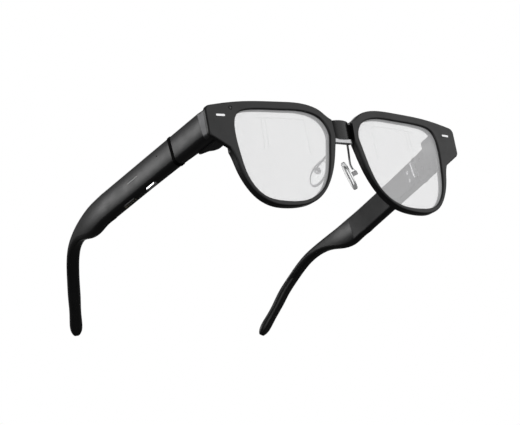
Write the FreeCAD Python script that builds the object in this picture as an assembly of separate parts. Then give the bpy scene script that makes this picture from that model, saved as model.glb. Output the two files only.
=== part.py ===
import FreeCAD, Part
import math
import os
from FreeCAD import Placement, Rotation, Vector

# Smart glasses: a black frame with see-through display lenses and folding temples full of electronics.
# Millimetres. +X is to the right of someone facing the glasses, the temples run towards +Y, +Z is up.
# "Right" and "left" in the names are the wearer's, so every right-hand piece is on the -X side.
# The right-hand side is modelled and the left-hand side is its mirror image.
#
# Face frame: u across, depth back from the curved front surface, v up along the leaning face.
# Temple frame: inward from the outer face, along the temple, up. Its origin is the front outer corner.

# ---- overall sizes ----
LENS_HALF_GAP = 9.0      # centre line to the nearest point of a lens opening
LENS_WIDTH = 51.0
LENS_HEIGHT = 43.3
LENS_TOP = 20.9          # top of the lens opening, above the level of the face origin
END_PLATE_FROM = LENS_HALF_GAP + LENS_WIDTH + 3.5
HALF_WIDTH = END_PLATE_FROM + 10.0   # centre line to the outer face of a temple at the front
ARM_HEIGHT = 13.5        # straight part of a temple
ARM_THICKNESS = 5.1
ARM_FRONT_THICKNESS = ARM_THICKNESS + 0.5
ARM_TOP = LENS_TOP - 0.2
ARM_BOTTOM = ARM_TOP - ARM_HEIGHT
ARM_MIDDLE = ARM_BOTTOM + ARM_HEIGHT / 2
SEAM_ALONG = 24.4        # where the fixed end block stops and the seam ring starts
TAPER_END = 48.0         # where the arm reaches its even thickness
TIP_ALONG = 158.0        # rearmost point of the ear tip
TIP_LENGTH = 82.0        # the temple turns in and changes its section over this length

# ---- angles ----
FACE_TILT = 4.83         # top of the face leans forward
TEMPLE_DROP = 3.37       # temples run down towards the ears
TOE_OUT = 5.35           # temples spread apart towards the back
BOW_ANGLE = 28.0         # how far the ear tips turn in

# ---- front frame ----
FACE_RADIUS = 695.0
FRAME_DEPTH = 3.5
RIM_WIDTH = 2.6
BROW_HEIGHT = 4.2
END_PLATE_DEPTH = 1.8    # the ends of the frame are thinner, and the end blocks start behind them
PLATE_OVERHANG = 0.3     # the end plate reaches this far beyond the temple's outer face
PLATE_BOTTOM = ARM_BOTTOM + 0.3
JOINT_U = END_PLATE_FROM + 0.7       # where the lower edge of the end plate runs into the rim
JOINT_V = PLATE_BOTTOM - 6.1
EDGE_ROUND = 0.8
CORNER_ROUND = 3.0
JOINT_ROUND = 1.3
LIP = 1.0                # frame in front of the lens groove
GROOVE_REACH = 0.8
FIT_GAP = 0.05           # pieces that are pushed into a pocket
RUN_GAP = 0.15           # pieces that move past each other

# ---- bridge and nose pads ----
BRIDGE_HALF = 5.7
BRIDGE_TOP = 18.5
BRIDGE_BOTTOM = 9.6
BRIDGE_FRONT_RADIUS = 9.0
BRIDGE_SETBACK = 0.7
CORE_FRONT = 2.6         # frame web behind the bridge cover
BRACKET_HEIGHT = 1.8
BRACKET_FRONT = 1.6
BRACKET_DEPTH = 2.4
PAD_CENTRE = Vector(9.1, 12.5, -3.9)
PAD_LENGTH = 14.2
PAD_WIDTH = 7.4
PAD_THICKNESS = 2.2
PAD_AXIS = Vector(0.492, 0.156, -0.857)
PAD_FACING = Vector(-0.741, 0.591, -0.318)
LUG_SIZE = 1.8
LUG_THICKNESS = 1.3
PAD_ROOM = 0.45          # from the end of the pad's lug to the back of its box
CHEEK = 0.6
PAD_PIN_R = 0.4
PIN_GAP = 0.03           # running fit round a pin, on the radius
ARM_WIRE_R = 0.5

# ---- small front parts ----
RIVET_U = HALF_WIDTH - 6.8
RIVET_V = LENS_TOP - 4.3
RIVET_LENGTH = 4.5
RIVET_WIDTH = 1.0
RIVET_PROUD = 0.2
RIVET_PIN_END = END_PLATE_DEPTH - 0.4
SENSOR_U = END_PLATE_FROM - 2.6
SENSOR_V = LENS_TOP - 0.5
SENSOR_R = 0.7
SENSOR_DEPTH = 1.2

# ---- lens stack ----
LENS_THICKNESS = 1.0
GROOVE_WIDTH = LENS_THICKNESS + 2 * FIT_GAP
GUIDE_THICKNESS = 0.5
GUIDE_INSET = 0.3

# ---- end block and hinge ----
WALL = 0.9
BAND_LENGTH = 3.5
BAND_THICKNESS = 1.4
BLOCK_SPLIT = ARM_THICKNESS - 1.5    # inward distance of the joint between shell and inner cover
BLOCK_FRONT_THICKNESS = ARM_THICKNESS + 2.3
NOSE_SLOPE = 0.9         # the block's outer face slopes in this far where it meets the frame
BULGE_REACH = BLOCK_FRONT_THICKNESS + 4.9
BULGE_END = 10.0
BULGE_BOTTOM = ARM_BOTTOM - 0.6
BULGE_TOP = ARM_TOP - 1.0
ENGINE_LOW = (BLOCK_SPLIT + 2.6, 2.6, ARM_BOTTOM + 2.2)
ENGINE_HIGH = (BULGE_REACH - 2.2, BULGE_END - 1.8, ARM_TOP - 3.0)
ENGINE_GAP = 0.4
BARREL_LENGTH = 1.0
FIN_COUNT = 4
FIN_STEP = 1.3
FIN_THICKNESS = 0.6
RING_LENGTH = 1.4
RING_PROUD = 0.3
FOLD_GAP = 0.3
ARM_START = SEAM_ALONG + RING_LENGTH + FOLD_GAP
HINGE_INWARD = ARM_FRONT_THICKNESS + 0.5
HINGE_ALONG = SEAM_ALONG + RING_LENGTH
BARREL_R = 1.4
PIN_R = 0.6
KNUCKLE_BOTTOM = ARM_BOTTOM + 3.0
KNUCKLE_HEIGHT = (ARM_HEIGHT - 5.7) / 3
KNUCKLE_STEP = KNUCKLE_HEIGHT + RUN_GAP
HINGE_TOP = KNUCKLE_BOTTOM + 2 * KNUCKLE_STEP + KNUCKLE_HEIGHT
LEAF_THICKNESS = 0.9
LEAF_LENGTH = 8.0
LEAF_START = 0.7         # from the hinge's axis to the near end of a leaf's plate
PLATE_INNER = BLOCK_SPLIT + 0.2 + LEAF_THICKNESS
SCREW_R = 0.45
SCREW_HEAD_R = 0.9
SCREW_HEAD_HEIGHT = 0.5
SCREW_SPREAD = 2.2       # from the middle of the hinge up or down to a screw
SCREW_FROM_END = 2.2     # from the far end of a leaf's plate to its screws

# ---- temple ----
BOW_START = TIP_ALONG - TIP_LENGTH
BOW_RADIUS = 120.0
COVER_START = 35.0
COVER_END = BOW_START + 12.0
COVER_MARGIN = 1.1
CAVITY_MARGIN = WALL + 0.3
CAVITY_LOW = (WALL, ARM_START + 3.0, ARM_BOTTOM + CAVITY_MARGIN)
CAVITY_HIGH = (BLOCK_SPLIT, COVER_END - 1.5, ARM_TOP - CAVITY_MARGIN)
OUTER_BOTTOM_ROUND = 2.5
OUTER_TOP_ROUND = 1.0
INNER_ROUND = 1.0
INNER_BOTTOM_ROUND = 1.9
TIP_HEIGHT = 4.3
TIP_THICKNESS = 6.2
CORE_WIRE_R = 0.6
# The ear tip: distance before its end, middle below the middle of the arm, swell (1 is the arm's full
# height, 0 is TIP_HEIGHT), droop in degrees, and the size of the rounded end.
TIP_STATIONS = [
    (TIP_LENGTH, 0.0, 1.00, 0, 1.0), (77.0, 0.0, 1.00, 0, 1.0), (72.0, 0.1, 1.01, 0, 1.0),
    (66.0, 0.35, 1.02, 0, 1.0), (61.0, 0.1, 0.88, 0, 1.0), (55.0, -0.8, 0.58, 0, 1.0),
    (49.0, -1.6, 0.27, 4, 1.0), (43.0, -1.5, 0.09, 9, 1.0), (37.0, -0.4, 0.02, 18, 1.0),
    (30.0, 2.8, 0.0, 29, 1.0), (22.0, 8.4, 0.0, 38, 1.0), (14.0, 15.6, 0.0, 42, 1.0),
    (6.0, 22.9, 0.0, 43, 1.0), (1.9, 26.7, 0.0, 43, 0.86), (0.4, 28.1, 0.0, 43, 0.45),
]

# ---- fittings in the temples: along, inward and up in the temple frame ----
BUTTON_ALONG = 41.9
BUTTON_LENGTH = 7.4
BUTTON_INWARD = 1.1
BUTTON_WIDTH = 2.1
BUTTON_PROUD = 0.2
BUTTON_DEEP = 0.75
BUTTON_TRAVEL = 0.35
STEM_LENGTH = 2.0
STEM_WIDTH = 1.0
SWITCH_HEIGHT = 1.0
CONTACT_ALONG = 57.2
CONTACT_LENGTH = 9.4
CONTACT_INWARD = 0.9
CONTACT_WIDTH = 2.2
CONTACT_DEPTH = 0.8
CONTACT_RADII = [0.75, 0.5, 0.5, 0.5, 0.5]
CONTACT_PROUD = 0.02
GRILLE_ALONG = BOW_START - 0.6
GRILLE_LENGTH = 9.0
GRILLE_INWARD = 2.3
GRILLE_WIDTH = 1.1
GRILLE_SUNK = 0.15
GRILLE_DEPTH = 0.6
LIGHT_ALONG = 51.0
LIGHT_LENGTH = 8.0
LIGHT_UP = ARM_TOP - 5.4
LIGHT_HEIGHT = 0.5
LIGHT_DEPTH = 0.7
MIC_ALONG = 35.3
MIC_UP = ARM_TOP - 3.9
MIC_R = 0.35
MIC_SIZE = (0.9, 2.8, 2.2)
BOARD_END = MIC_ALONG + 22.0
BATTERY_START = BOARD_END + 1.0
BATTERY_END = GRILLE_ALONG - 2.0
SPEAKER_HEIGHT = 5.8

UP = Vector(0, 0, 1)


# ---- helpers ----
def box(low, high):
    """Box between two opposite corners."""
    size = Vector(*high) - Vector(*low)
    return Part.makeBox(size.x, size.y, size.z, Vector(*low))


def rod(radius, start, end):
    """Round bar between two points."""
    start, end = Vector(*start), Vector(*end)
    return Part.makeCylinder(radius, (end - start).Length, start, end - start)


def joined(shapes):
    """One solid from touching solids."""
    first = shapes[0]
    whole = first.fuse(shapes[1:]) if len(shapes) > 1 else first
    return whole.removeSplitter()


def curve(points):
    """Smooth edge through (u, v) points."""
    line = Part.BSplineCurve()
    line.interpolate([Vector(u, 0, v) for u, v in points])
    return line.toShape()


def straight(start, end):
    return Part.makeLine(Vector(start[0], 0, start[1]), Vector(end[0], 0, end[1]))


# ---- face frame: outlines and slabs ----
def face_band(front, back):
    """Everything between two depths behind the curved front surface."""
    foot = Vector(0, FACE_RADIUS, -60)
    outer = Part.makeCylinder(FACE_RADIUS - front, 120, foot, UP)
    inner = Part.makeCylinder(FACE_RADIUS - back, 120, foot, UP)
    keep = box((-90, -5, -60), (90, 40, 60))
    return outer.cut(inner).common(keep)


def slab(outline, front, back):
    """Outline in the face, given thickness between two depths."""
    face = Part.Face(outline)
    face.translate(Vector(0, -6, 0))
    return face.extrude(Vector(0, 46, 0)).common(face_band(front, back))


def grown(points, amount):
    """Closed point loop moved outward along its own normals."""
    moved = []
    count = len(points)
    for i, (u, v) in enumerate(points):
        before, after = points[i - 1], points[(i + 1) % count]
        du, dv = after[0] - before[0], after[1] - before[1]
        size = math.hypot(du, dv)
        moved.append((u + amount * dv / size, v - amount * du / size))
    return moved


def lens_points():
    """Lens opening, counter-clockwise seen from the back, as shares of its width and height."""
    shape = [
        (0.000, 0.725), (0.045, 0.490), (0.165, 0.170), (0.355, 0.028), (0.605, 0.000),
        (0.815, 0.055), (0.930, 0.215), (0.985, 0.490), (1.000, 0.745), (0.955, 0.925),
        (0.800, 0.985), (0.490, 1.000), (0.185, 0.990), (0.045, 0.905),
    ]
    bottom = LENS_TOP - LENS_HEIGHT
    return [(LENS_HALF_GAP + s * LENS_WIDTH, bottom + t * LENS_HEIGHT) for s, t in shape]


def lens_outline(amount=0.0):
    """Closed smooth outline of the lens opening, grown by an amount."""
    loop = Part.BSplineCurve()
    points = [Vector(u, 0, v) for u, v in grown(lens_points(), amount)]
    loop.interpolate(points, PeriodicFlag=True)
    return Part.Wire([loop.toShape()])


def frame_half_outline():
    """Outline of one half of the frame, from the bridge over the brow, end-piece and rim."""
    left, right = LENS_HALF_GAP, LENS_HALF_GAP + LENS_WIDTH
    top, bottom = LENS_TOP, LENS_TOP - LENS_HEIGHT
    edge = HALF_WIDTH + PLATE_OVERHANG
    corner_top, corner_low = (edge, top + 0.1), (edge, PLATE_BOTTOM)
    joint = (JOINT_U, JOINT_V)
    brow = [
        (BRIDGE_HALF + 0.5, BRIDGE_TOP), (left - 0.7, BRIDGE_TOP + 1.2), (left + 2.6, top + 1.3),
        (left + 6.5, top + 3.0), (left + 25, top + BROW_HEIGHT), (left + 45, top + BROW_HEIGHT - 1.0),
        corner_top,
    ]
    rim = [
        joint, (right + 2.8, -1.5), (right + 1.4, -6.5), (right - 2.2, -15.0), (right - 6.8, bottom + 1.8),
        (right - 13, bottom - 1.6), (right - 21, bottom - RIM_WIDTH), (left + 23, bottom - 2.1),
        (left + 15, bottom + 0.2), (left + 7.1, bottom + 6.4), (left + 3.1, -10.2), (left + 0.6, -5.0),
        (left - 1.3, 0.5), (BRIDGE_HALF, BRIDGE_BOTTOM - 2.0),
    ]
    edges = [
        curve(brow), straight(corner_top, corner_low), straight(corner_low, joint),
        curve(rim), straight(rim[-1], brow[0]),
    ]
    return Part.Wire(edges)


def upright_at(solid, u, v):
    """Edges that run front to back near a point of the face."""
    found = []
    for edge in solid.Edges:
        middle = edge.CenterOfMass
        if math.hypot(middle.x - u, middle.z - v) < 0.2 and edge.BoundBox.YLength > 0.9:
            found.append(edge)
    return found


def on_front(edge):
    """True for an edge that lies on the front surface."""
    for place in edge.discretize(5):
        if abs(math.hypot(place.x, place.y - FACE_RADIUS) - FACE_RADIUS) > 0.01:
            return False
    return True


def front_frame_half():
    edge = HALF_WIDTH + PLATE_OVERHANG
    half = slab(frame_half_outline(), 0, FRAME_DEPTH)
    corners = upright_at(half, edge, LENS_TOP + 0.1) + upright_at(half, edge, PLATE_BOTTOM)
    half = half.makeFillet(CORNER_ROUND, corners)
    half = half.makeFillet(JOINT_ROUND, upright_at(half, JOINT_U, JOINT_V))
    half = half.cut(slab(lens_outline(), -2, FRAME_DEPTH + 2))
    half = half.makeFillet(EDGE_ROUND, [e for e in half.Edges if on_front(e) and not at_bridge(e)])
    behind_end = box((END_PLATE_FROM, -5, -40), (90, 40, 40)).common(face_band(END_PLATE_DEPTH, 12))
    groove = slab(lens_outline(GROOVE_REACH), LIP, LIP + GROOVE_WIDTH)
    return half.cut(behind_end).cut(groove)


def at_bridge(edge):
    return all(abs(p.x) < BRIDGE_HALF + 0.6 for p in edge.discretize(5))


def rivet_tool(gap, proud):
    """Oblong rivet standing along u."""
    half = RIVET_WIDTH / 2 + gap
    reach = (RIVET_LENGTH - RIVET_WIDTH) / 2
    ends = [(RIVET_U - reach, RIVET_V), (RIVET_U + reach, RIVET_V)]
    pieces = []
    for u, v in ends:
        disc = Part.Wire([Part.makeCircle(half, Vector(u, 0, v), Vector(0, 1, 0))])
        pieces.append(slab(disc, -proud, RIVET_PIN_END))
    middle = Part.makePolygon([
        Vector(ends[0][0], 0, RIVET_V - half), Vector(ends[1][0], 0, RIVET_V - half),
        Vector(ends[1][0], 0, RIVET_V + half), Vector(ends[0][0], 0, RIVET_V + half),
        Vector(ends[0][0], 0, RIVET_V - half),
    ])
    pieces.append(slab(middle, -proud, RIVET_PIN_END))
    return joined(pieces)


def sensor_tool(gap):
    disc = Part.Wire([Part.makeCircle(SENSOR_R + gap, Vector(SENSOR_U, 0, SENSOR_V), Vector(0, 1, 0))])
    return slab(disc, 0, SENSOR_DEPTH)


def flip(shape):
    """Mirror image across the middle plane."""
    return shape.mirror(Vector(0, 0, 0), Vector(1, 0, 0))


def bridge_core():
    outline = Part.makePolygon([
        Vector(-BRIDGE_HALF - 1, 0, BRIDGE_BOTTOM), Vector(BRIDGE_HALF + 1, 0, BRIDGE_BOTTOM),
        Vector(BRIDGE_HALF + 1, 0, BRIDGE_TOP - 1), Vector(-BRIDGE_HALF - 1, 0, BRIDGE_TOP - 1),
        Vector(-BRIDGE_HALF - 1, 0, BRIDGE_BOTTOM),
    ])
    return slab(outline, CORE_FRONT, FRAME_DEPTH)


def bridge_cover():
    """Rounded upright saddle set back between the rims."""
    low = (-BRIDGE_HALF - 1, BRIDGE_SETBACK, BRIDGE_BOTTOM)
    block = box(low, (BRIDGE_HALF + 1, CORE_FRONT, BRIDGE_TOP))
    centre = Vector(0, BRIDGE_SETBACK + BRIDGE_FRONT_RADIUS, BRIDGE_BOTTOM - 1)
    post = Part.makeCylinder(BRIDGE_FRONT_RADIUS, BRIDGE_TOP - BRIDGE_BOTTOM + 2, centre, UP)
    back = face_band(-5, CORE_FRONT)
    return block.common(post).common(back)


def wire_arm():
    """Bent metal wire from the bracket to the box that holds a nose pad."""
    out = pad_axes()[0]
    end = PAD_CENTRE - out * (PAD_THICKNESS / 2 + LUG_SIZE + PAD_ROOM + CHEEK / 2)
    level = BRIDGE_BOTTOM - BRACKET_HEIGHT / 2
    rear = BRACKET_FRONT + BRACKET_DEPTH
    route = [
        Vector(BRIDGE_HALF - 2.2, rear - 0.6, level),
        Vector(BRIDGE_HALF - 1.3, rear + 0.5, level - 1.9),
        Vector(BRIDGE_HALF + 1.2, rear + 3.7, 3.0),
        Vector(BRIDGE_HALF + 3.2, rear + 6.0, 0.6),
        end,
    ]
    path = Part.BSplineCurve()
    path.interpolate(route)
    start = Part.Wire([Part.makeCircle(ARM_WIRE_R, route[0], path.tangent(path.FirstParameter)[0])])
    return Part.Wire([path.toShape()]).makePipeShell([start], True, True)


def pad_axes():
    """Facing, long and width directions of a nose pad."""
    out = Vector(PAD_FACING).normalize()
    long_axis = PAD_AXIS - out * PAD_AXIS.dot(out)
    long_axis.normalize()
    return out, long_axis, out.cross(long_axis)


def pad_place(shape):
    """From pad space (x along, y across, z out of the face towards the nose) to the face frame."""
    out, long_axis, width_axis = pad_axes()
    turn = FreeCAD.Matrix(
        long_axis.x, width_axis.x, out.x, PAD_CENTRE.x, long_axis.y, width_axis.y, out.y, PAD_CENTRE.y,
        long_axis.z, width_axis.z, out.z, PAD_CENTRE.z, 0, 0, 0, 1,
    )
    return moved(shape, Placement(turn))


def moved(shape, place):
    result = shape.copy()
    result.Placement = place.multiply(result.Placement)
    return result


def nose_pad():
    """Soft oval pad with a lug on its back for the pivot pin."""
    rim = Part.Wire([Part.Ellipse(Vector(0, 0, 0), PAD_LENGTH / 2, PAD_WIDTH / 2).toShape()])
    oval = Part.Face(rim).extrude(Vector(0, 0, PAD_THICKNESS))
    rims = [e for e in oval.Edges if abs(e.BoundBox.ZMax - e.BoundBox.ZMin) < 1e-6]
    oval = oval.makeFillet(PAD_THICKNESS * 0.4, rims)
    oval.translate(Vector(0, 0, -PAD_THICKNESS / 2))
    base = -PAD_THICKNESS / 2
    long, thick = LUG_SIZE / 2, LUG_THICKNESS / 2
    lug = box((-long, -thick, base - LUG_SIZE), (long, thick, base + 0.3))
    hole = rod(PAD_PIN_R + PIN_GAP, (0, -3, base - LUG_SIZE / 2), (0, 3, base - LUG_SIZE / 2))
    return joined([oval, lug]).cut(hole)


def pad_slot():
    """Room that the lug swings in."""
    half, reach = LUG_THICKNESS / 2 + RUN_GAP, LUG_SIZE
    bottom = -PAD_THICKNESS / 2 - LUG_SIZE - PAD_ROOM
    return box((-reach, -half, bottom), (reach, half, 0))


def pad_box():
    """Two cheeks and a back that carry the pad's pivot pin."""
    top = -PAD_THICKNESS / 2 - RUN_GAP * 2
    reach = LUG_THICKNESS / 2 + RUN_GAP + CHEEK
    back = -PAD_THICKNESS / 2 - LUG_SIZE - PAD_ROOM - CHEEK
    block = box((-LUG_SIZE / 2, -reach, back), (LUG_SIZE / 2, reach, top))
    return block.cut(rod(PAD_PIN_R, pad_pin_end(-1), pad_pin_end(1)))


def pad_pin_end(side):
    reach = LUG_THICKNESS / 2 + RUN_GAP + CHEEK
    return (0, side * reach, -PAD_THICKNESS / 2 - LUG_SIZE / 2)


def pad_pin():
    return rod(PAD_PIN_R, pad_pin_end(-1), pad_pin_end(1))


# ---- temple frame: sections and bodies ----
def section(centre, thickness, height, turn, lean, rounds):
    """Rounded upright section: rounds are outer-bottom, inner-bottom, inner-top, outer-top."""
    half_t, half_h = thickness / 2, height / 2
    corners = [(-1, -1), (1, -1), (1, 1), (-1, 1)]
    points, edges = [], []
    for (sx, sz), r in zip(corners, rounds):
        corner = Vector(sx * half_t, 0, sz * half_h)
        along_x, along_z = Vector(-sx * r, 0, 0), Vector(0, 0, -sz * r)
        mid = corner + (along_x + along_z) * (1 - math.sqrt(0.5))
        first, last = (along_z, along_x) if sx * sz > 0 else (along_x, along_z)
        points.append((corner + first, mid, corner + last))
    for i in range(4):
        start, mid, end = points[i]
        edges.append(Part.Arc(start, mid, end).toShape())
        edges.append(Part.makeLine(end, points[(i + 1) % 4][0]))
    wire = Part.Wire(edges)
    spin = Rotation(UP, -turn).multiply(Rotation(Vector(1, 0, 0), lean))
    return moved(wire, Placement(Vector(*centre), spin))


def rounds_for(scale=1.0):
    rounds = [OUTER_BOTTOM_ROUND, INNER_BOTTOM_ROUND, INNER_ROUND, OUTER_TOP_ROUND]
    return [r * scale for r in rounds]


def bow(along):
    """How far the temple has turned in at a station: inward shift and angle."""
    run = max(0.0, along - BOW_START)
    arc_run = BOW_RADIUS * math.sin(math.radians(BOW_ANGLE))
    if run <= arc_run:
        angle = math.asin(run / BOW_RADIUS)
        return BOW_RADIUS * (1 - math.cos(angle)), math.degrees(angle)
    arc_shift = BOW_RADIUS * (1 - math.cos(math.radians(BOW_ANGLE)))
    return arc_shift + (run - arc_run) * math.tan(math.radians(BOW_ANGLE)), BOW_ANGLE


def tip_section(station):
    """Section of the ear tip at one station."""
    before, below, swell, droop, end = station
    along = TIP_ALONG - before
    shift, turn = bow(along)
    height = (TIP_HEIGHT + (ARM_HEIGHT - TIP_HEIGHT) * swell) * end
    slim = 1 - min(1.0, max(0.0, swell))
    thickness = (ARM_THICKNESS + (TIP_THICKNESS - ARM_THICKNESS) * slim) * end
    rounds = [r + (TIP_HEIGHT * 0.46 * end - r) * slim for r in rounds_for(end)]
    across = (ARM_THICKNESS + (TIP_THICKNESS - ARM_THICKNESS) * slim) / 2
    centre = (across + shift, along, ARM_MIDDLE - below)
    return section(centre, thickness, height, turn, -droop, rounds)


def arm_section(along, thickness, height=ARM_HEIGHT, grow=0.0):
    size = [r + grow for r in rounds_for()]
    centre = (thickness / 2, along, ARM_MIDDLE)
    return section(centre, thickness + 2 * grow, height + 2 * grow, 0, 0, size)


def arm_solid():
    """Whole outer shape of one temple."""
    front = [arm_section(ARM_START, ARM_FRONT_THICKNESS), arm_section(TAPER_END, ARM_THICKNESS)]
    taper = Part.makeLoft(front, True, True)
    middle = Part.makeLoft([front[1], tip_section(TIP_STATIONS[0])], True, True)
    tip = Part.makeLoft([tip_section(s) for s in TIP_STATIONS], True, False)
    return taper.fuse([middle, tip])


def hinge_well(extra=0.0):
    """Room round the hinge barrel."""
    foot = (HINGE_INWARD, HINGE_ALONG, KNUCKLE_BOTTOM - FOLD_GAP - extra)
    return rod(BARREL_R + FOLD_GAP, foot, (HINGE_INWARD, HINGE_ALONG, HINGE_TOP + FOLD_GAP + extra))


def knuckle(level):
    low = KNUCKLE_BOTTOM + level * KNUCKLE_STEP
    return rod(BARREL_R, (HINGE_INWARD, HINGE_ALONG, low), (HINGE_INWARD, HINGE_ALONG, low + KNUCKLE_HEIGHT))


def leaf(side, levels, gap=0.0):
    """Hinge leaf: a plate and webs out to its knuckles. Side -1 is the end block, 1 is the temple."""
    near = HINGE_ALONG + side * LEAF_START
    far = near + side * LEAF_LENGTH
    low_a, high_a = min(near, far) - gap, max(near, far) + gap
    plate_low = PLATE_INNER - LEAF_THICKNESS - gap
    pieces = [box((plate_low, low_a, KNUCKLE_BOTTOM - gap), (PLATE_INNER + gap, high_a, HINGE_TOP + gap))]
    web_a = sorted([near, near + side * (BARREL_R - 0.2)])
    for level in levels:
        low = KNUCKLE_BOTTOM + level * KNUCKLE_STEP
        high = low + KNUCKLE_HEIGHT + gap
        pieces.append(box((plate_low, web_a[0] - gap, low - gap), (HINGE_INWARD, web_a[1] + gap, high)))
    return pieces


def screw_places(side):
    middle = (KNUCKLE_BOTTOM + HINGE_TOP) / 2
    along = HINGE_ALONG + side * (LEAF_START + LEAF_LENGTH - SCREW_FROM_END)
    return [(along, middle - SCREW_SPREAD), (along, middle + SCREW_SPREAD)]


def screw(along, up):
    """Pan-head screw pointing outward from the inner side."""
    top = PLATE_INNER + SCREW_HEAD_HEIGHT
    shank = rod(SCREW_R, (PLATE_INNER - LEAF_THICKNESS, along, up), (PLATE_INNER, along, up))
    head = rod(SCREW_HEAD_R, (PLATE_INNER, along, up), (top, along, up))
    slot = box((top - 0.2, along - 0.7, up - 0.12), (top + 0.1, along + 0.7, up + 0.12))
    return joined([shank, head]).cut(slot)


def screw_room(along, up):
    shank = rod(SCREW_R, (PLATE_INNER - LEAF_THICKNESS, along, up), (PLATE_INNER, along, up))
    access = rod(SCREW_HEAD_R + 0.1, (PLATE_INNER, along, up), (PLATE_INNER + 8, along, up))
    return shank.fuse(access)


def hinge_parts():
    pin_low = (HINGE_INWARD, HINGE_ALONG, KNUCKLE_BOTTOM - FOLD_GAP / 2)
    pin_high = (HINGE_INWARD, HINGE_ALONG, HINGE_TOP + FOLD_GAP / 2)
    fixed = joined(leaf(-1, (0, 2)) + [knuckle(0), knuckle(2)]).cut(rod(PIN_R, pin_low, pin_high))
    swinging = joined(leaf(1, (1,)) + [knuckle(1)]).cut(rod(PIN_R + PIN_GAP, pin_low, pin_high))
    for place in screw_places(-1):
        fixed = fixed.cut(screw_room(*place))
    for place in screw_places(1):
        swinging = swinging.cut(screw_room(*place))
    return fixed, swinging, rod(PIN_R, pin_low, pin_high)


def face_blocked():
    """Space taken by the front frame, in the row frame, that the end block has to stay out of."""
    end = face_band(-20, END_PLATE_DEPTH)
    behind = face_band(-20, FRAME_DEPTH).common(box((-END_PLATE_FROM - FIT_GAP, -5, -60), (0, 40, 60)))
    return to_row_from_face(end.fuse(behind))


def to_row_from_face(shape):
    return moved(shape, Placement(Vector(0, 0, 0), Rotation(Vector(1, 0, 0), FACE_TILT)))


def to_row_from_temple(shape):
    """Right-hand temple frame into the row frame."""
    side_back = FACE_RADIUS - math.sqrt(FACE_RADIUS ** 2 - HALF_WIDTH ** 2)
    origin = Vector(-HALF_WIDTH, side_back, 0)
    spin = Rotation(UP, TOE_OUT).multiply(Rotation(Vector(1, 0, 0), -TEMPLE_DROP))
    return moved(shape, Placement(origin, spin))


def block_body():
    rear = arm_section(SEAM_ALONG, ARM_FRONT_THICKNESS)
    front = arm_section(BAND_LENGTH, BLOCK_FRONT_THICKNESS)
    return Part.makeLoft([front, rear], True, True)


def block_nose():
    """Stretch between the end of the band and the front frame, its outer face sloping in."""
    back = arm_section(BAND_LENGTH, BLOCK_FRONT_THICKNESS)
    centre = (BLOCK_FRONT_THICKNESS / 2 + NOSE_SLOPE / 2, -3, ARM_MIDDLE)
    lead = section(centre, BLOCK_FRONT_THICKNESS - NOSE_SLOPE, ARM_HEIGHT, 0, 0, rounds_for())
    return Part.makeLoft([lead, back], True, True)


def bulge():
    """Housing of the light engine, standing inward behind the corner of the lens."""
    thick, root = BLOCK_FRONT_THICKNESS, ARM_THICKNESS - 0.1
    plan = [
        (root, -4.0), (BULGE_REACH - 1.0, -4.0), (BULGE_REACH, 1.0), (BULGE_REACH, BULGE_END - 2.0),
        (BULGE_REACH - 1.5, BULGE_END), (thick + 1.2, BULGE_END + 1.2), (thick - 0.6, BULGE_END + 4.0),
        (root, BULGE_END + 4.0), (root, -4.0),
    ]
    face = Part.Face(Part.makePolygon([Vector(d, a, BULGE_BOTTOM) for d, a in plan]))
    solid = face.extrude(Vector(0, 0, BULGE_TOP - BULGE_BOTTOM))
    upright = [e for e in solid.Edges if e.BoundBox.ZLength > 1 and e.BoundBox.XMin > thick + 0.6]
    solid = solid.makeFillet(0.8, upright)
    flat = [e for e in solid.Edges if e.BoundBox.ZLength < 1e-6 and e.BoundBox.XMax > thick + 0.4]
    return solid.makeFillet(0.7, flat)


def light_engine():
    """Small projector with its lens barrel and cooling fins."""
    middle = (ENGINE_LOW[2] + ENGINE_HIGH[2]) / 2
    centre = (ENGINE_LOW[0] + ENGINE_HIGH[0]) / 2
    front = ENGINE_LOW[1]
    radius = (ENGINE_HIGH[0] - ENGINE_LOW[0]) / 2 - 0.1
    barrel = rod(radius, (centre, front - BARREL_LENGTH, middle), (centre, front, middle))
    pieces = [box(ENGINE_LOW, ENGINE_HIGH), barrel]
    for i in range(FIN_COUNT):
        start = front + FIN_THICKNESS + i * FIN_STEP
        low = (ENGINE_LOW[0] - FIN_THICKNESS, start, ENGINE_LOW[2] + 0.6)
        pieces.append(box(low, (ENGINE_LOW[0], start + FIN_THICKNESS, ENGINE_HIGH[2] - 0.6)))
    return joined(pieces)


def block_parts():
    """Trim band, outer shell and inner cover of the end block, all in the temple frame."""
    nose, body = block_nose(), block_body()
    whole = nose.fuse([body, bulge()])
    outer_space = box((-5, -10, 0), (BLOCK_SPLIT, 60, 40))
    band_space = box((-5, -10, 0), (BAND_THICKNESS, BAND_LENGTH, 40))
    band = whole.common(band_space)
    shell = whole.common(outer_space).cut(band_space)
    hollow_low = (CAVITY_MARGIN, BAND_LENGTH + CAVITY_MARGIN, ARM_BOTTOM + WALL)
    shell = shell.cut(box(hollow_low, (BLOCK_SPLIT + 1, SEAM_ALONG - CAVITY_MARGIN, ARM_TOP - WALL)))
    cover = whole.cut(outer_space)
    room_low = (BLOCK_SPLIT - 1, ENGINE_LOW[1] - BARREL_LENGTH - 0.2, ENGINE_LOW[2] - ENGINE_GAP)
    cover = cover.cut(box(room_low, [c + ENGINE_GAP for c in ENGINE_HIGH]))
    for piece in leaf(-1, (0, 2), FIT_GAP):
        cover = cover.cut(piece)
    cover = cover.cut(hinge_well())
    for place in screw_places(-1):
        cover = cover.cut(screw_room(*place))
    return band, shell, cover


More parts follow.
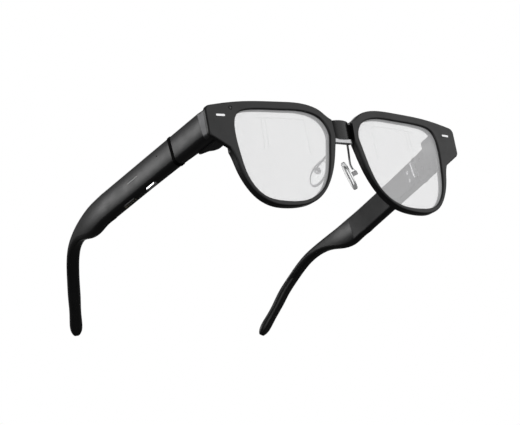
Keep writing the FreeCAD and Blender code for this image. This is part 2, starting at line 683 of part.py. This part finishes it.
def seam_ring():
    """Thin black gasket on the rear face of the end block."""
    start = arm_section(SEAM_ALONG, ARM_FRONT_THICKNESS, grow=RING_PROUD)
    end = arm_section(SEAM_ALONG + RING_LENGTH, ARM_FRONT_THICKNESS, grow=RING_PROUD)
    ring = Part.makeLoft([start, end], True, True)
    hole = box((WALL + 0.6, 0, ARM_BOTTOM + WALL + 0.8), (BLOCK_SPLIT - 0.4, 60, ARM_TOP - WALL - 0.8))
    notch = box((BLOCK_SPLIT, 0, KNUCKLE_BOTTOM - FOLD_GAP), (12, 60, HINGE_TOP + FOLD_GAP))
    return ring.cut(hole).cut(notch)


# ---- fittings inside and under the temples ----
def pill(low, high):
    """Box with two rounded ends along the temple."""
    half = (high[0] - low[0]) / 2
    middle = box((low[0], low[1] + half, low[2]), (high[0], high[1] - half, high[2]))
    ends = []
    for along in (low[1] + half, high[1] - half):
        ends.append(rod(half, (low[0] + half, along, low[2]), (low[0] + half, along, high[2])))
    return joined([middle] + ends)


def button(gap=0.0, lift=0.0):
    """Pill-shaped key under the temple with a stem that reaches the switch."""
    low = (BUTTON_INWARD - gap, BUTTON_ALONG - gap, ARM_BOTTOM - BUTTON_PROUD - gap)
    far = (BUTTON_INWARD + BUTTON_WIDTH + gap, BUTTON_ALONG + BUTTON_LENGTH + gap)
    cap = pill(low, far + (ARM_BOTTOM + BUTTON_DEEP + lift,))
    middle = BUTTON_ALONG + BUTTON_LENGTH / 2
    centre = BUTTON_INWARD + BUTTON_WIDTH / 2
    wide, long = STEM_WIDTH / 2 + gap, STEM_LENGTH / 2 + gap
    stem = box((centre - wide, middle - long, ARM_BOTTOM + BUTTON_DEEP),
               (centre + wide, middle + long, CAVITY_LOW[2] + 0.2 + lift))
    return joined([cap, stem])


def button_switch():
    middle = BUTTON_ALONG + BUTTON_LENGTH / 2
    centre = BUTTON_INWARD + BUTTON_WIDTH / 2
    low = CAVITY_LOW[2] + 0.2 + BUTTON_TRAVEL + 0.1
    return box((centre - 0.9, middle - 1.6, low), (centre + 0.7, middle + 1.6, low + SWITCH_HEIGHT))


def contact_carrier(gap=0.0):
    low = (CONTACT_INWARD - gap, CONTACT_ALONG - gap, ARM_BOTTOM - gap)
    far = (CONTACT_INWARD + CONTACT_WIDTH + gap, CONTACT_ALONG + CONTACT_LENGTH + gap)
    return pill(low, far + (ARM_BOTTOM + CONTACT_DEPTH,))


def contact_pins():
    centre = CONTACT_INWARD + CONTACT_WIDTH / 2
    step = CONTACT_LENGTH / len(CONTACT_RADII)
    pins = []
    for i, radius in enumerate(CONTACT_RADII):
        along = CONTACT_ALONG + step * (len(CONTACT_RADII) - i - 0.5)
        low = (centre, along, ARM_BOTTOM - CONTACT_PROUD)
        pins.append(rod(radius, low, (centre, along, ARM_BOTTOM + CONTACT_DEPTH)))
    return pins


def grille_space(gap, low, high):
    """Long slot under the speaker, between two heights above the underside."""
    start = (GRILLE_INWARD - gap, GRILLE_ALONG - gap, ARM_BOTTOM + low)
    end = (GRILLE_INWARD + GRILLE_WIDTH + gap, GRILLE_ALONG + GRILLE_LENGTH + gap, ARM_BOTTOM + high)
    return pill(start, end)


def light_space(gap, outer):
    low, high = LIGHT_UP - LIGHT_HEIGHT / 2 - gap, LIGHT_UP + LIGHT_HEIGHT / 2 + gap
    return box((outer, LIGHT_ALONG - gap, low), (LIGHT_DEPTH, LIGHT_ALONG + LIGHT_LENGTH + gap, high))


def microphone():
    deep, long, tall = MIC_SIZE
    low = (WALL, MIC_ALONG - long / 2, MIC_UP - tall / 2)
    return box(low, (WALL + deep, MIC_ALONG + long / 2, MIC_UP + tall / 2))


def circuit_board():
    """Board with a few chips, lying along the outer wall."""
    low, high = CAVITY_LOW, CAVITY_HIGH
    face = low[0] + 1.8
    pieces = [box((face - 0.6, low[1] + 2.0, low[2] + 2.4), (face, BOARD_END, high[2] - 0.3))]
    for start in (4.0, 12.0, 20.0):
        chip_low = (face, low[1] + start, low[2] + 3.6)
        pieces.append(box(chip_low, (face + 0.9, low[1] + start + 5.0, high[2] - 1.2)))
    return joined(pieces)


def battery():
    low, high = CAVITY_LOW, CAVITY_HIGH
    cell = box((low[0] + 0.2, BATTERY_START, low[2] + 0.4), (high[0] - 0.2, BATTERY_END, high[2] - 0.2))
    long_edges = [e for e in cell.Edges if e.BoundBox.YLength > 1]
    return cell.makeFillet(0.7, [e for e in long_edges if e.BoundBox.XLength < 0.1])


def speaker():
    low, high = CAVITY_LOW, CAVITY_HIGH
    base = (low[0] + 0.3, GRILLE_ALONG - 1.4, low[2] + 0.2)
    return box(base, (high[0] - 0.2, high[1] - 0.2, base[2] + SPEAKER_HEIGHT))


def tip_core():
    """Bendable wire along the middle of the ear tip."""
    places = []
    for before, below, *_ in TIP_STATIONS[5:-2]:
        along = TIP_ALONG - before
        places.append(Vector(TIP_THICKNESS / 2 + bow(along)[0], along, ARM_MIDDLE - below))
    path = Part.BSplineCurve()
    path.interpolate(places)
    start = Part.Wire([Part.makeCircle(CORE_WIRE_R, places[0], path.tangent(path.FirstParameter)[0])])
    return Part.Wire([path.toShape()]).makePipeShell([start], True, True)


def temple_parts():
    """Outer shell with ear tip, and inner cover, in the temple frame."""
    arm = arm_solid()
    low, high = ARM_BOTTOM + COVER_MARGIN, ARM_TOP - COVER_MARGIN
    cover = arm.common(box((BLOCK_SPLIT + FIT_GAP, COVER_START, low), (12, COVER_END, high)))
    pocket_end = (12, COVER_END + FIT_GAP, high + FIT_GAP)
    pocket = box((BLOCK_SPLIT, COVER_START - FIT_GAP, low - FIT_GAP), pocket_end)
    shell = arm.cut(pocket).cut(box(CAVITY_LOW, CAVITY_HIGH))
    for piece in leaf(1, (1,), FIT_GAP):
        shell = shell.cut(piece)
    shell = shell.cut(hinge_well()).cut(grille_space(FIT_GAP, -0.5, GRILLE_DEPTH)).cut(tip_core())
    for place in screw_places(1):
        shell = shell.cut(screw_room(*place))
    return shell, cover


def fitted_shell(shell):
    """Openings that only the right temple has."""
    for space in (button(RUN_GAP, BUTTON_TRAVEL), contact_carrier(FIT_GAP), light_space(FIT_GAP, -0.5)):
        shell = shell.cut(space)
    hole = rod(MIC_R, (-1, MIC_ALONG, MIC_UP), (WALL, MIC_ALONG, MIC_UP))
    return shell.cut(hole)


def face_pieces():
    """Front frame and what it carries, in the row frame."""
    half = front_frame_half().cut(rivet_tool(FIT_GAP, 3))
    other = flip(half).cut(flip(sensor_tool(FIT_GAP)))
    frame = joined([half, other, bridge_core()])
    low = (-BRIDGE_HALF + 0.4, BRACKET_FRONT, BRIDGE_BOTTOM - BRACKET_HEIGHT)
    bracket = box(low, (BRIDGE_HALF - 0.4, BRACKET_FRONT + BRACKET_DEPTH, BRIDGE_BOTTOM))
    wire = wire_arm()
    guide_front = LIP + GROOVE_WIDTH + FIT_GAP
    whole = {
        "front_frame": frame, "bridge_cover": bridge_cover().cut(frame),
        "nose_bracket": bracket.cut(wire).cut(flip(wire)), "sensor_window": flip(sensor_tool(0)),
    }
    sided = {
        "lens": slab(lens_outline(GROOVE_REACH - FIT_GAP), LIP + FIT_GAP, LIP + FIT_GAP + LENS_THICKNESS),
        "waveguide": slab(lens_outline(-GUIDE_INSET), guide_front, guide_front + GUIDE_THICKNESS),
        "rivet": rivet_tool(0, RIVET_PROUD),
        "nose_pad_arm": wire.fuse(pad_place(pad_box())).cut(pad_place(pad_slot())),
        "nose_pad": pad_place(nose_pad()), "nose_pad_pin": pad_place(pad_pin()),
    }
    row = {name: to_row_from_face(shape) for name, shape in whole.items()}
    for name, shape in sided.items():
        row[name + "_left"] = to_row_from_face(shape)
        row[name + "_right"] = to_row_from_face(flip(shape))
    return row


def temple_pieces():
    """End blocks and temples, in the row frame."""
    row = {}
    blocked = face_blocked()
    for name, shape in zip(("trim_band", "end_block_shell", "end_block_cover"), block_parts()):
        row[name + "_right"] = to_row_from_temple(shape).cut(blocked)
    fixed, swinging, pin = hinge_parts()
    shell, cover = temple_parts()
    both = {
        "light_engine": light_engine(), "seam_ring": seam_ring(), "hinge_front_leaf": fixed,
        "hinge_rear_leaf": swinging, "hinge_pin": pin, "temple_cover": cover, "battery": battery(),
        "front_leaf_screws": Part.makeCompound([screw(*place) for place in screw_places(-1)]),
        "rear_leaf_screws": Part.makeCompound([screw(*place) for place in screw_places(1)]),
        "circuit_board": circuit_board(), "speaker": speaker(), "tip_core": tip_core(),
        "speaker_grille": grille_space(0, GRILLE_SUNK, GRILLE_DEPTH),
    }
    for name, shape in both.items():
        row[name + "_right"] = to_row_from_temple(shape)
    for name in list(row):
        row[name.replace("_right", "_left")] = flip(row[name])
    row["temple_shell_left"] = flip(to_row_from_temple(shell))
    pins = Part.makeCompound(contact_pins())
    only_right = {
        "temple_shell_right": fitted_shell(shell), "function_button": button(),
        "button_switch": button_switch(), "contact_carrier": contact_carrier().cut(pins),
        "charging_contacts": pins, "status_light": light_space(0, 0), "microphone": microphone(),
    }
    for name, shape in only_right.items():
        row[name] = to_row_from_temple(shape)
    return row


def build():
    """Every piece in the row frame, before it is set down on its resting plane."""
    row = face_pieces()
    row.update(temple_pieces())
    return row


def main():
    os.makedirs("parts", exist_ok=True)
    row = build()
    low = min(shape.optimalBoundingBox().ZMin for shape in row.values())
    front = min(shape.optimalBoundingBox().YMin for shape in row.values())
    back = max(shape.optimalBoundingBox().YMax for shape in row.values())
    shift = Vector(0, -(front + back) / 2, -low)
    print("set down by", tuple(round(c, 4) for c in shift))
    for name, shape in row.items():
        placed = moved(shape, Placement(shift, Rotation()))
        solids = placed.Solids
        print(name, len(solids), round(sum(s.Volume for s in solids), 2), all(s.isValid() for s in solids))
        if len(solids) == 1:
            placed = solids[0]
        placed.exportStep("parts/" + name + ".step")


main()
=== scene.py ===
import math

import bmesh
import bpy
from mathutils import Matrix, Vector


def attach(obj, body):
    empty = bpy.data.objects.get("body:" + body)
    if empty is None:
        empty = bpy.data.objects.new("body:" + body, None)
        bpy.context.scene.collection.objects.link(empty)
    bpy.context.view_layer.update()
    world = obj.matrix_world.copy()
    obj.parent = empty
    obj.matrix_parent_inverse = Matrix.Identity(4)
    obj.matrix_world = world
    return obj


# Looks of the smart glasses. Metres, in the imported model's own frame: the lenses face -Y, +Z is up.

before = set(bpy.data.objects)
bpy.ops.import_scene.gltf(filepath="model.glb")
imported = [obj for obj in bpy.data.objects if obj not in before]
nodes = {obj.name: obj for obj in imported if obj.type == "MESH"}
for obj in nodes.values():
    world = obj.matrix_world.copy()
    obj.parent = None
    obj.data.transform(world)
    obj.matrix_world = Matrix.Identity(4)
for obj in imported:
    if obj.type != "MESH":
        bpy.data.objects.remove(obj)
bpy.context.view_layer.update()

# ---- camera ----
CAMERA_PLACE = Vector((-0.49842, -0.60556, -0.26593))
CAMERA_RIGHT = Vector((0.79892, -0.56023, -0.21880))
CAMERA_UP = Vector((-0.04231, -0.41524, 0.90873))
CAMERA_LENS = 118.33

# ---- surroundings ----
FLOOR_LEVEL = -0.62
FLOOR_HALF = 4.0

# Cards of light in the world: direction from the glasses, degrees out to where it starts to fade and to
# its edge, level.
CARDS = [
    ((-0.722, 0.593, 0.355), 8, 17, 4.0),
    ((0.60, -0.75, 0.26), 25, 52, 0.9),
    ((-0.60, -0.717, -0.355), 12, 30, 1.2),
    ((0.598, 0.717, 0.355), 14, 20, 1.0),
]
ROOM_LOW, ROOM_HIGH = 0.05, 0.22

# ---- model placement, millimetres ----
FACE_TILT = 4.83
FACE_RADIUS = 695.0
SET_DOWN = Vector((0.0, -80.8615, 24.7549))
TEMPLE_DROP = 3.37
TEMPLE_CROWN_UP = 15.0   # height in the temple frame of the crown of its outer face
CROWN_CURVE = 27.0       # how quickly the crown falls away, per metre
CROWN_REACH = 8.0        # how far from its line the crown goes on

MM = 0.001


# ---- node helpers ----
def node(tree, kind, **inputs):
    """New shader node, its sockets set from keyword names with _ for a space."""
    made = tree.nodes.new(kind)
    for key, value in inputs.items():
        made.inputs[key.replace("_", " ")].default_value = value
    return made


def noise(tree, place, size, detail=2.0, rough=0.5):
    """Noise texture with features of a size in metres."""
    made = node(tree, "ShaderNodeTexNoise", Scale=1.0 / size, Detail=detail, Roughness=rough)
    tree.links.new(place, made.inputs["Vector"])
    return made.outputs["Fac"]


def spread(tree, source, low, high, first=0.3, last=0.7):
    """Source stretched from first..last to low..high."""
    made = node(tree, "ShaderNodeMapRange", From_Min=first, From_Max=last, To_Min=low, To_Max=high)
    tree.links.new(source, made.inputs["Value"])
    return made.outputs["Result"]


def tint(tree, factor, first, second):
    """Colour between two colours."""
    made = tree.nodes.new("ShaderNodeMix")
    made.data_type = "RGBA"
    tree.links.new(factor, made.inputs["Factor"])
    made.inputs["A"].default_value = (*first, 1.0)
    made.inputs["B"].default_value = (*second, 1.0)
    return made.outputs["Result"]


def maths(tree, kind, first, second):
    """Math node; second is a number or another node's output."""
    made = tree.nodes.new("ShaderNodeMath")
    made.operation = kind
    tree.links.new(first, made.inputs[0])
    if isinstance(second, float):
        made.inputs[1].default_value = second
    else:
        tree.links.new(second, made.inputs[1])
    return made.outputs["Value"]


def along_axis(tree, place, axis):
    """How far a place or direction reaches along an axis."""
    made = tree.nodes.new("ShaderNodeVectorMath")
    made.operation = "DOT_PRODUCT"
    made.inputs[1].default_value = axis
    tree.links.new(place, made.inputs[0])
    return made.outputs["Value"]


def bump(tree, height, strength, distance, under=None):
    made = node(tree, "ShaderNodeBump", Strength=strength, Distance=distance)
    tree.links.new(height, made.inputs["Height"])
    if under:
        tree.links.new(under, made.inputs["Normal"])
    return made.outputs["Normal"]


def crown(tree, place, under):
    """Shades a temple's outer face as a gentle bulge about a line that drops towards the ear."""
    drop = math.radians(TEMPLE_DROP)
    level = along_axis(tree, place, (0.0, math.sin(drop), math.cos(drop)))
    line = (TEMPLE_CROWN_UP + SET_DOWN.z * math.cos(drop) + SET_DOWN.y * math.sin(drop)) * MM
    held = node(tree, "ShaderNodeClamp", Min=-CROWN_REACH * MM, Max=CROWN_REACH * MM)
    tree.links.new(maths(tree, "SUBTRACT", level, line), held.inputs["Value"])
    off = held.outputs["Result"]
    return bump(tree, maths(tree, "MULTIPLY", maths(tree, "MULTIPLY", off, off), -CROWN_CURVE), 1.0, 1.0, under)


def finish(name, dark, light, rough, grain=0.12, depth=0.004, cloud=6.0, stretch=(1, 1, 1),
           pores=0.0, crowned=False, **sockets):
    """Moulded, cast or brushed surface.

    dark and light are the ends of its colour, rough the ends of its roughness, grain and cloud the sizes
    in millimetres of its fine texture and its broad variation, depth the texture's height in millimetres,
    stretch draws the fine texture out along an axis, pores adds small pits, and crowned shades a temple's
    outer face as a bulge. The rest of the names are the shader's own sockets.
    """
    material = bpy.data.materials.new(name)
    material.use_nodes = True
    tree = material.node_tree
    shader = tree.nodes["Principled BSDF"]
    for key, value in sockets.items():
        shader.inputs[key.replace("_", " ")].default_value = value
    place = tree.nodes.new("ShaderNodeTexCoord").outputs["Object"]
    drawn = node(tree, "ShaderNodeMapping", Scale=stretch)
    tree.links.new(place, drawn.inputs["Vector"])
    fine = noise(tree, drawn.outputs["Vector"], grain * MM, 3.0, 0.6)
    broad = noise(tree, place, cloud * MM, 4.0, 0.55)
    tree.links.new(tint(tree, spread(tree, broad, 0.0, 1.0), dark, light), shader.inputs["Base Color"])
    tree.links.new(spread(tree, broad, rough[1], rough[0]), shader.inputs["Roughness"])
    normal = bump(tree, fine, 0.6, depth * MM)
    if pores:
        cell = node(tree, "ShaderNodeTexVoronoi", Scale=1.0 / (grain * 3 * MM))
        tree.links.new(place, cell.inputs["Vector"])
        pit = spread(tree, cell.outputs["Distance"], 0.0, 1.0, 0.05, 0.3)
        normal = bump(tree, pit, pores, depth * MM, normal)
    if crowned:
        normal = crown(tree, place, normal)
    tree.links.new(normal, shader.inputs["Normal"])
    return material


def dress(material, *names):
    """Gives CAD nodes a material, on both sides of the glasses where a name has a left and a right."""
    for name in names:
        for full in (name, name + "_left", name + "_right"):
            if full in nodes:
                nodes[full].data.materials.clear()
                nodes[full].data.materials.append(material)


# ---- materials ----
black_front = finish("satin_black_front", (0.010, 0.010, 0.0105), (0.014, 0.014, 0.0145), (0.34, 0.42),
                     grain=0.16, depth=0.003, pores=0.25)
black_bridge = finish("bridge_black", (0.008, 0.008, 0.008), (0.011, 0.011, 0.011), (0.22, 0.3))
black_block = finish("block_black", (0.020, 0.020, 0.021), (0.026, 0.026, 0.027), (0.30, 0.38), crowned=True)
black_temple = finish("temple_black", (0.014, 0.014, 0.0145), (0.019, 0.019, 0.0195), (0.30, 0.40), pores=0.3,
                      crowned=True)
black_cover = finish("cover_black", (0.008, 0.008, 0.0085), (0.011, 0.011, 0.0115), (0.42, 0.5), pores=0.3,
                     Specular_IOR_Level=0.3)
trim_metal = finish("satin_trim", (0.13, 0.13, 0.133), (0.16, 0.16, 0.163), (0.34, 0.42), Metallic=1.0,
                    stretch=(1, 1, 12), grain=0.08)
seam_black = finish("seam_rubber", (0.002, 0.002, 0.002), (0.003, 0.003, 0.003), (0.7, 0.8),
                    Specular_IOR_Level=0.1)
bright_metal = finish("polished_metal", (0.78, 0.78, 0.79), (0.86, 0.86, 0.87), (0.1, 0.18), Metallic=1.0)
brushed_metal = finish("brushed_metal", (0.52, 0.52, 0.53), (0.64, 0.64, 0.65), (0.2, 0.32), Metallic=1.0,
                       stretch=(12, 1, 1))
pin_metal = finish("pin_metal", (0.42, 0.42, 0.43), (0.5, 0.5, 0.51), (0.22, 0.34), Metallic=1.0)
contact_metal = finish("contact_metal", (0.8, 0.72, 0.55), (0.86, 0.78, 0.62), (0.15, 0.25), Metallic=1.0)
smoked = finish("smoked_window", (0.004, 0.004, 0.005), (0.007, 0.007, 0.008), (0.04, 0.1))
inner_grey = finish("inner_part", (0.05, 0.05, 0.052), (0.07, 0.07, 0.072), (0.4, 0.55))
cell_foil = finish("cell_foil", (0.5, 0.5, 0.52), (0.6, 0.6, 0.62), (0.25, 0.4), Metallic=1.0)
board_green = finish("board_green", (0.01, 0.05, 0.025), (0.015, 0.07, 0.035), (0.35, 0.5))
silicone = finish("clear_silicone", (0.93, 0.94, 0.94), (0.96, 0.965, 0.965), (0.08, 0.16), grain=0.3,
                  Transmission_Weight=1.0, IOR=1.41)
# Painted light: the lens gives off a soft white glow though it is no lamp, laid over its own pale see-through
# colour.
lens_with_painted_glow = finish("lens_coated_painted_glow", (0.82, 0.82, 0.825), (0.85, 0.85, 0.855), (0.05, 0.09), grain=4.0,
                    depth=0.0005, cloud=14.0, Alpha=0.29, IOR=1.5, Emission_Color=(0.95, 0.95, 0.96, 1.0),
                    Emission_Strength=0.34)
guide_clear = finish("guide_clear", (0.80, 0.80, 0.805), (0.84, 0.84, 0.845), (0.05, 0.1), grain=4.0,
                     depth=0.0005, cloud=9.0, Alpha=0.08, IOR=1.5)

dress(black_front, "front_frame")
dress(black_bridge, "bridge_cover")
dress(brushed_metal, "nose_bracket", "nose_pad_arm", "nose_pad_pin")
dress(silicone, "nose_pad")
dress(lens_with_painted_glow, "lens")
dress(guide_clear, "waveguide")
dress(bright_metal, "rivet", "function_button")
dress(smoked, "sensor_window", "status_light")
dress(trim_metal, "trim_band")
dress(black_block, "end_block_shell", "end_block_cover")
dress(seam_black, "seam_ring")
dress(pin_metal, "hinge_front_leaf", "hinge_rear_leaf", "hinge_pin", "front_leaf_screws", "rear_leaf_screws",
      "tip_core")
dress(black_temple, "temple_shell")
dress(black_cover, "temple_cover", "contact_carrier", "speaker_grille")
dress(contact_metal, "charging_contacts")
dress(inner_grey, "light_engine", "speaker", "button_switch", "microphone")
dress(cell_foil, "battery")
dress(board_green, "circuit_board")


# ---- fine detail on the face ----
GUIDE_BACK = 2.65        # depth of the back of a waveguide
LINE_WIDTH = 0.22
LINE_THICKNESS = 0.03
GUIDE_LINES = [          # edges of the couplers that show through a lens, across and up the face
    [(46.5, 17.3), (40.0, 17.6), (33.0, 17.9), (26.0, 18.0), (20.3, 17.9), (20.0, 9.5), (19.7, 1.0)],
    [(43.7, 17.0), (44.1, 9.5), (44.7, 2.0)],
    [(41.6, 17.1), (41.9, 10.0), (42.4, 3.0)],
]
LINE_FRONT = GUIDE_BACK + 0.01
SENSOR_PLACE = (-60.9, 20.4)
SENSOR_RING_BACK = 0.02
SENSOR_STEPS = 28


def face_point(u, depth, v):
    """From across, depth and up the leaning, curved face to the model's place, in metres."""
    tilt = math.radians(FACE_TILT)
    back = FACE_RADIUS - math.sqrt((FACE_RADIUS - depth) ** 2 - u * u)
    row = Vector((u, back * math.cos(tilt) - v * math.sin(tilt), back * math.sin(tilt) + v * math.cos(tilt)))
    return (row + SET_DOWN) * MM


def bar(points, front, back, half, closed=False):
    """Square bar on the face along (u, v) points, as vertices and faces."""
    verts, faces, count = [], [], len(points)
    for i, (u, v) in enumerate(points):
        before = points[i - 1] if i or closed else points[i]
        after = points[(i + 1) % count] if i + 1 < count or closed else points[i]
        du, dv = after[0] - before[0], after[1] - before[1]
        size = math.hypot(du, dv)
        nu, nv = -dv / size * half, du / size * half
        for side, depth in ((1, front), (-1, front), (-1, back), (1, back)):
            verts.append(face_point(u + side * nu, depth, v + side * nv))
    for i in range(count if closed else count - 1):
        a, b = 4 * i, 4 * ((i + 1) % count)
        for k in range(4):
            n = (k + 1) % 4
            faces.append((a + k, b + k, b + n, a + n))
    if not closed:
        faces += [(0, 1, 2, 3), (4 * count - 1, 4 * count - 2, 4 * count - 3, 4 * count - 4)]
    return verts, faces


def face_piece(name, bars, material):
    """One mesh from several bars, riding on the front."""
    verts, faces = [], []
    for more_verts, more_faces in bars:
        first = len(verts)
        verts += more_verts
        faces += [tuple(first + k for k in face) for face in more_faces]
    mesh = bpy.data.meshes.new(name)
    mesh.from_pydata(verts, [], faces)
    work = bmesh.new()
    work.from_mesh(mesh)
    bmesh.ops.recalc_face_normals(work, faces=work.faces)
    work.to_mesh(mesh)
    work.free()
    made = bpy.data.objects.new(name, mesh)
    bpy.context.scene.collection.objects.link(made)
    mesh.materials.append(material)
    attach(made, "front")


def sensor_ring(middle, half, front):
    """Ring round the middle of the sensor window, level with the face."""
    turns = [2 * math.pi * i / SENSOR_STEPS for i in range(SENSOR_STEPS)]
    u, v = SENSOR_PLACE
    loop = [(u + middle * math.cos(t), v + middle * math.sin(t)) for t in turns]
    return bar(loop, front, SENSOR_RING_BACK, half, closed=True)


# Painted light: the coupler edge lines glow white though they are no lamp.
line_painted_glow = finish("guide_line", (0.80, 0.80, 0.80), (0.88, 0.88, 0.88), (0.4, 0.5), Alpha=0.5,
                    Emission_Color=(1, 1, 1, 1), Emission_Strength=0.25)
sensor_grey = finish("sensor_core", (0.12, 0.12, 0.125), (0.16, 0.16, 0.165), (0.12, 0.2), grain=0.05)
for side, word in ((1, "left"), (-1, "right")):
    drawn = []
    for line in GUIDE_LINES:
        places = [(side * u, v) for u, v in line]
        drawn.append(bar(places, LINE_FRONT, LINE_FRONT + LINE_THICKNESS, LINE_WIDTH / 2))
    face_piece("guide_lines_" + word, drawn, line_painted_glow)
face_piece("sensor_core", [sensor_ring(0.2, 0.18, -0.03)], sensor_grey)
face_piece("sensor_rim", [sensor_ring(0.8, 0.14, -0.02)], seam_black)


# ---- floor, light and camera ----
def floor():
    mesh = bpy.data.meshes.new("floor")
    half = FLOOR_HALF
    corners = [(-half, -half, 0), (half, -half, 0), (half, half, 0), (-half, half, 0)]
    mesh.from_pydata(corners, [], [(0, 1, 2, 3)])
    made = bpy.data.objects.new("floor", mesh)
    made.location = (0, 0, FLOOR_LEVEL)
    bpy.context.scene.collection.objects.link(made)
    pale = finish("pale_floor", (0.76, 0.76, 0.76), (0.8, 0.8, 0.8), (0.7, 0.8), cloud=300, grain=8,
                  Emission_Color=(1, 1, 1, 1), Emission_Strength=0.4)
    mesh.materials.append(pale)
    made.visible_glossy = False
    made.visible_diffuse = False


def surroundings():
    """White to the camera, and a soft studio to the object: cards of light on a dim room."""
    world = bpy.data.worlds.new("studio")
    bpy.context.scene.world = world
    world.use_nodes = True
    tree = world.node_tree
    tree.nodes.clear()
    place = tree.nodes.new("ShaderNodeTexCoord").outputs["Generated"]
    split = tree.nodes.new("ShaderNodeSeparateXYZ")
    tree.links.new(place, split.inputs["Vector"])
    level = spread(tree, split.outputs["Z"], ROOM_LOW, ROOM_HIGH, -0.3, 0.6)
    for aim, full, edge, strength in CARDS:
        facing = along_axis(tree, place, Vector(aim).normalized())
        first, last = math.cos(math.radians(edge)), math.cos(math.radians(full))
        card = spread(tree, facing, 0.0, strength, first, last)
        card.node.interpolation_type = "SMOOTHSTEP"
        level = maths(tree, "ADD", level, card)
    shown = node(tree, "ShaderNodeBackground", Color=(1, 1, 1, 1), Strength=1.0)
    lit = node(tree, "ShaderNodeBackground", Color=(1, 1, 1, 1))
    tree.links.new(level, lit.inputs["Strength"])
    mix = tree.nodes.new("ShaderNodeMixShader")
    tree.links.new(tree.nodes.new("ShaderNodeLightPath").outputs["Is Camera Ray"], mix.inputs["Fac"])
    tree.links.new(lit.outputs["Background"], mix.inputs[1])
    tree.links.new(shown.outputs["Background"], mix.inputs[2])
    out = tree.nodes.new("ShaderNodeOutputWorld")
    tree.links.new(mix.outputs["Shader"], out.inputs["Surface"])


def camera():
    data = bpy.data.cameras.new("camera")
    data.lens, data.sensor_width, data.sensor_fit = CAMERA_LENS, 36.0, "HORIZONTAL"
    data.clip_start, data.clip_end = 0.01, 20.0
    made = bpy.data.objects.new("camera", data)
    back = CAMERA_RIGHT.cross(CAMERA_UP)
    turn = Matrix((CAMERA_RIGHT, CAMERA_UP, back)).transposed().to_4x4()
    made.matrix_world = Matrix.Translation(CAMERA_PLACE) @ turn
    bpy.context.scene.collection.objects.link(made)
    bpy.context.scene.camera = made


floor()
surroundings()
camera()
bpy.context.scene.view_settings.view_transform = "Standard"
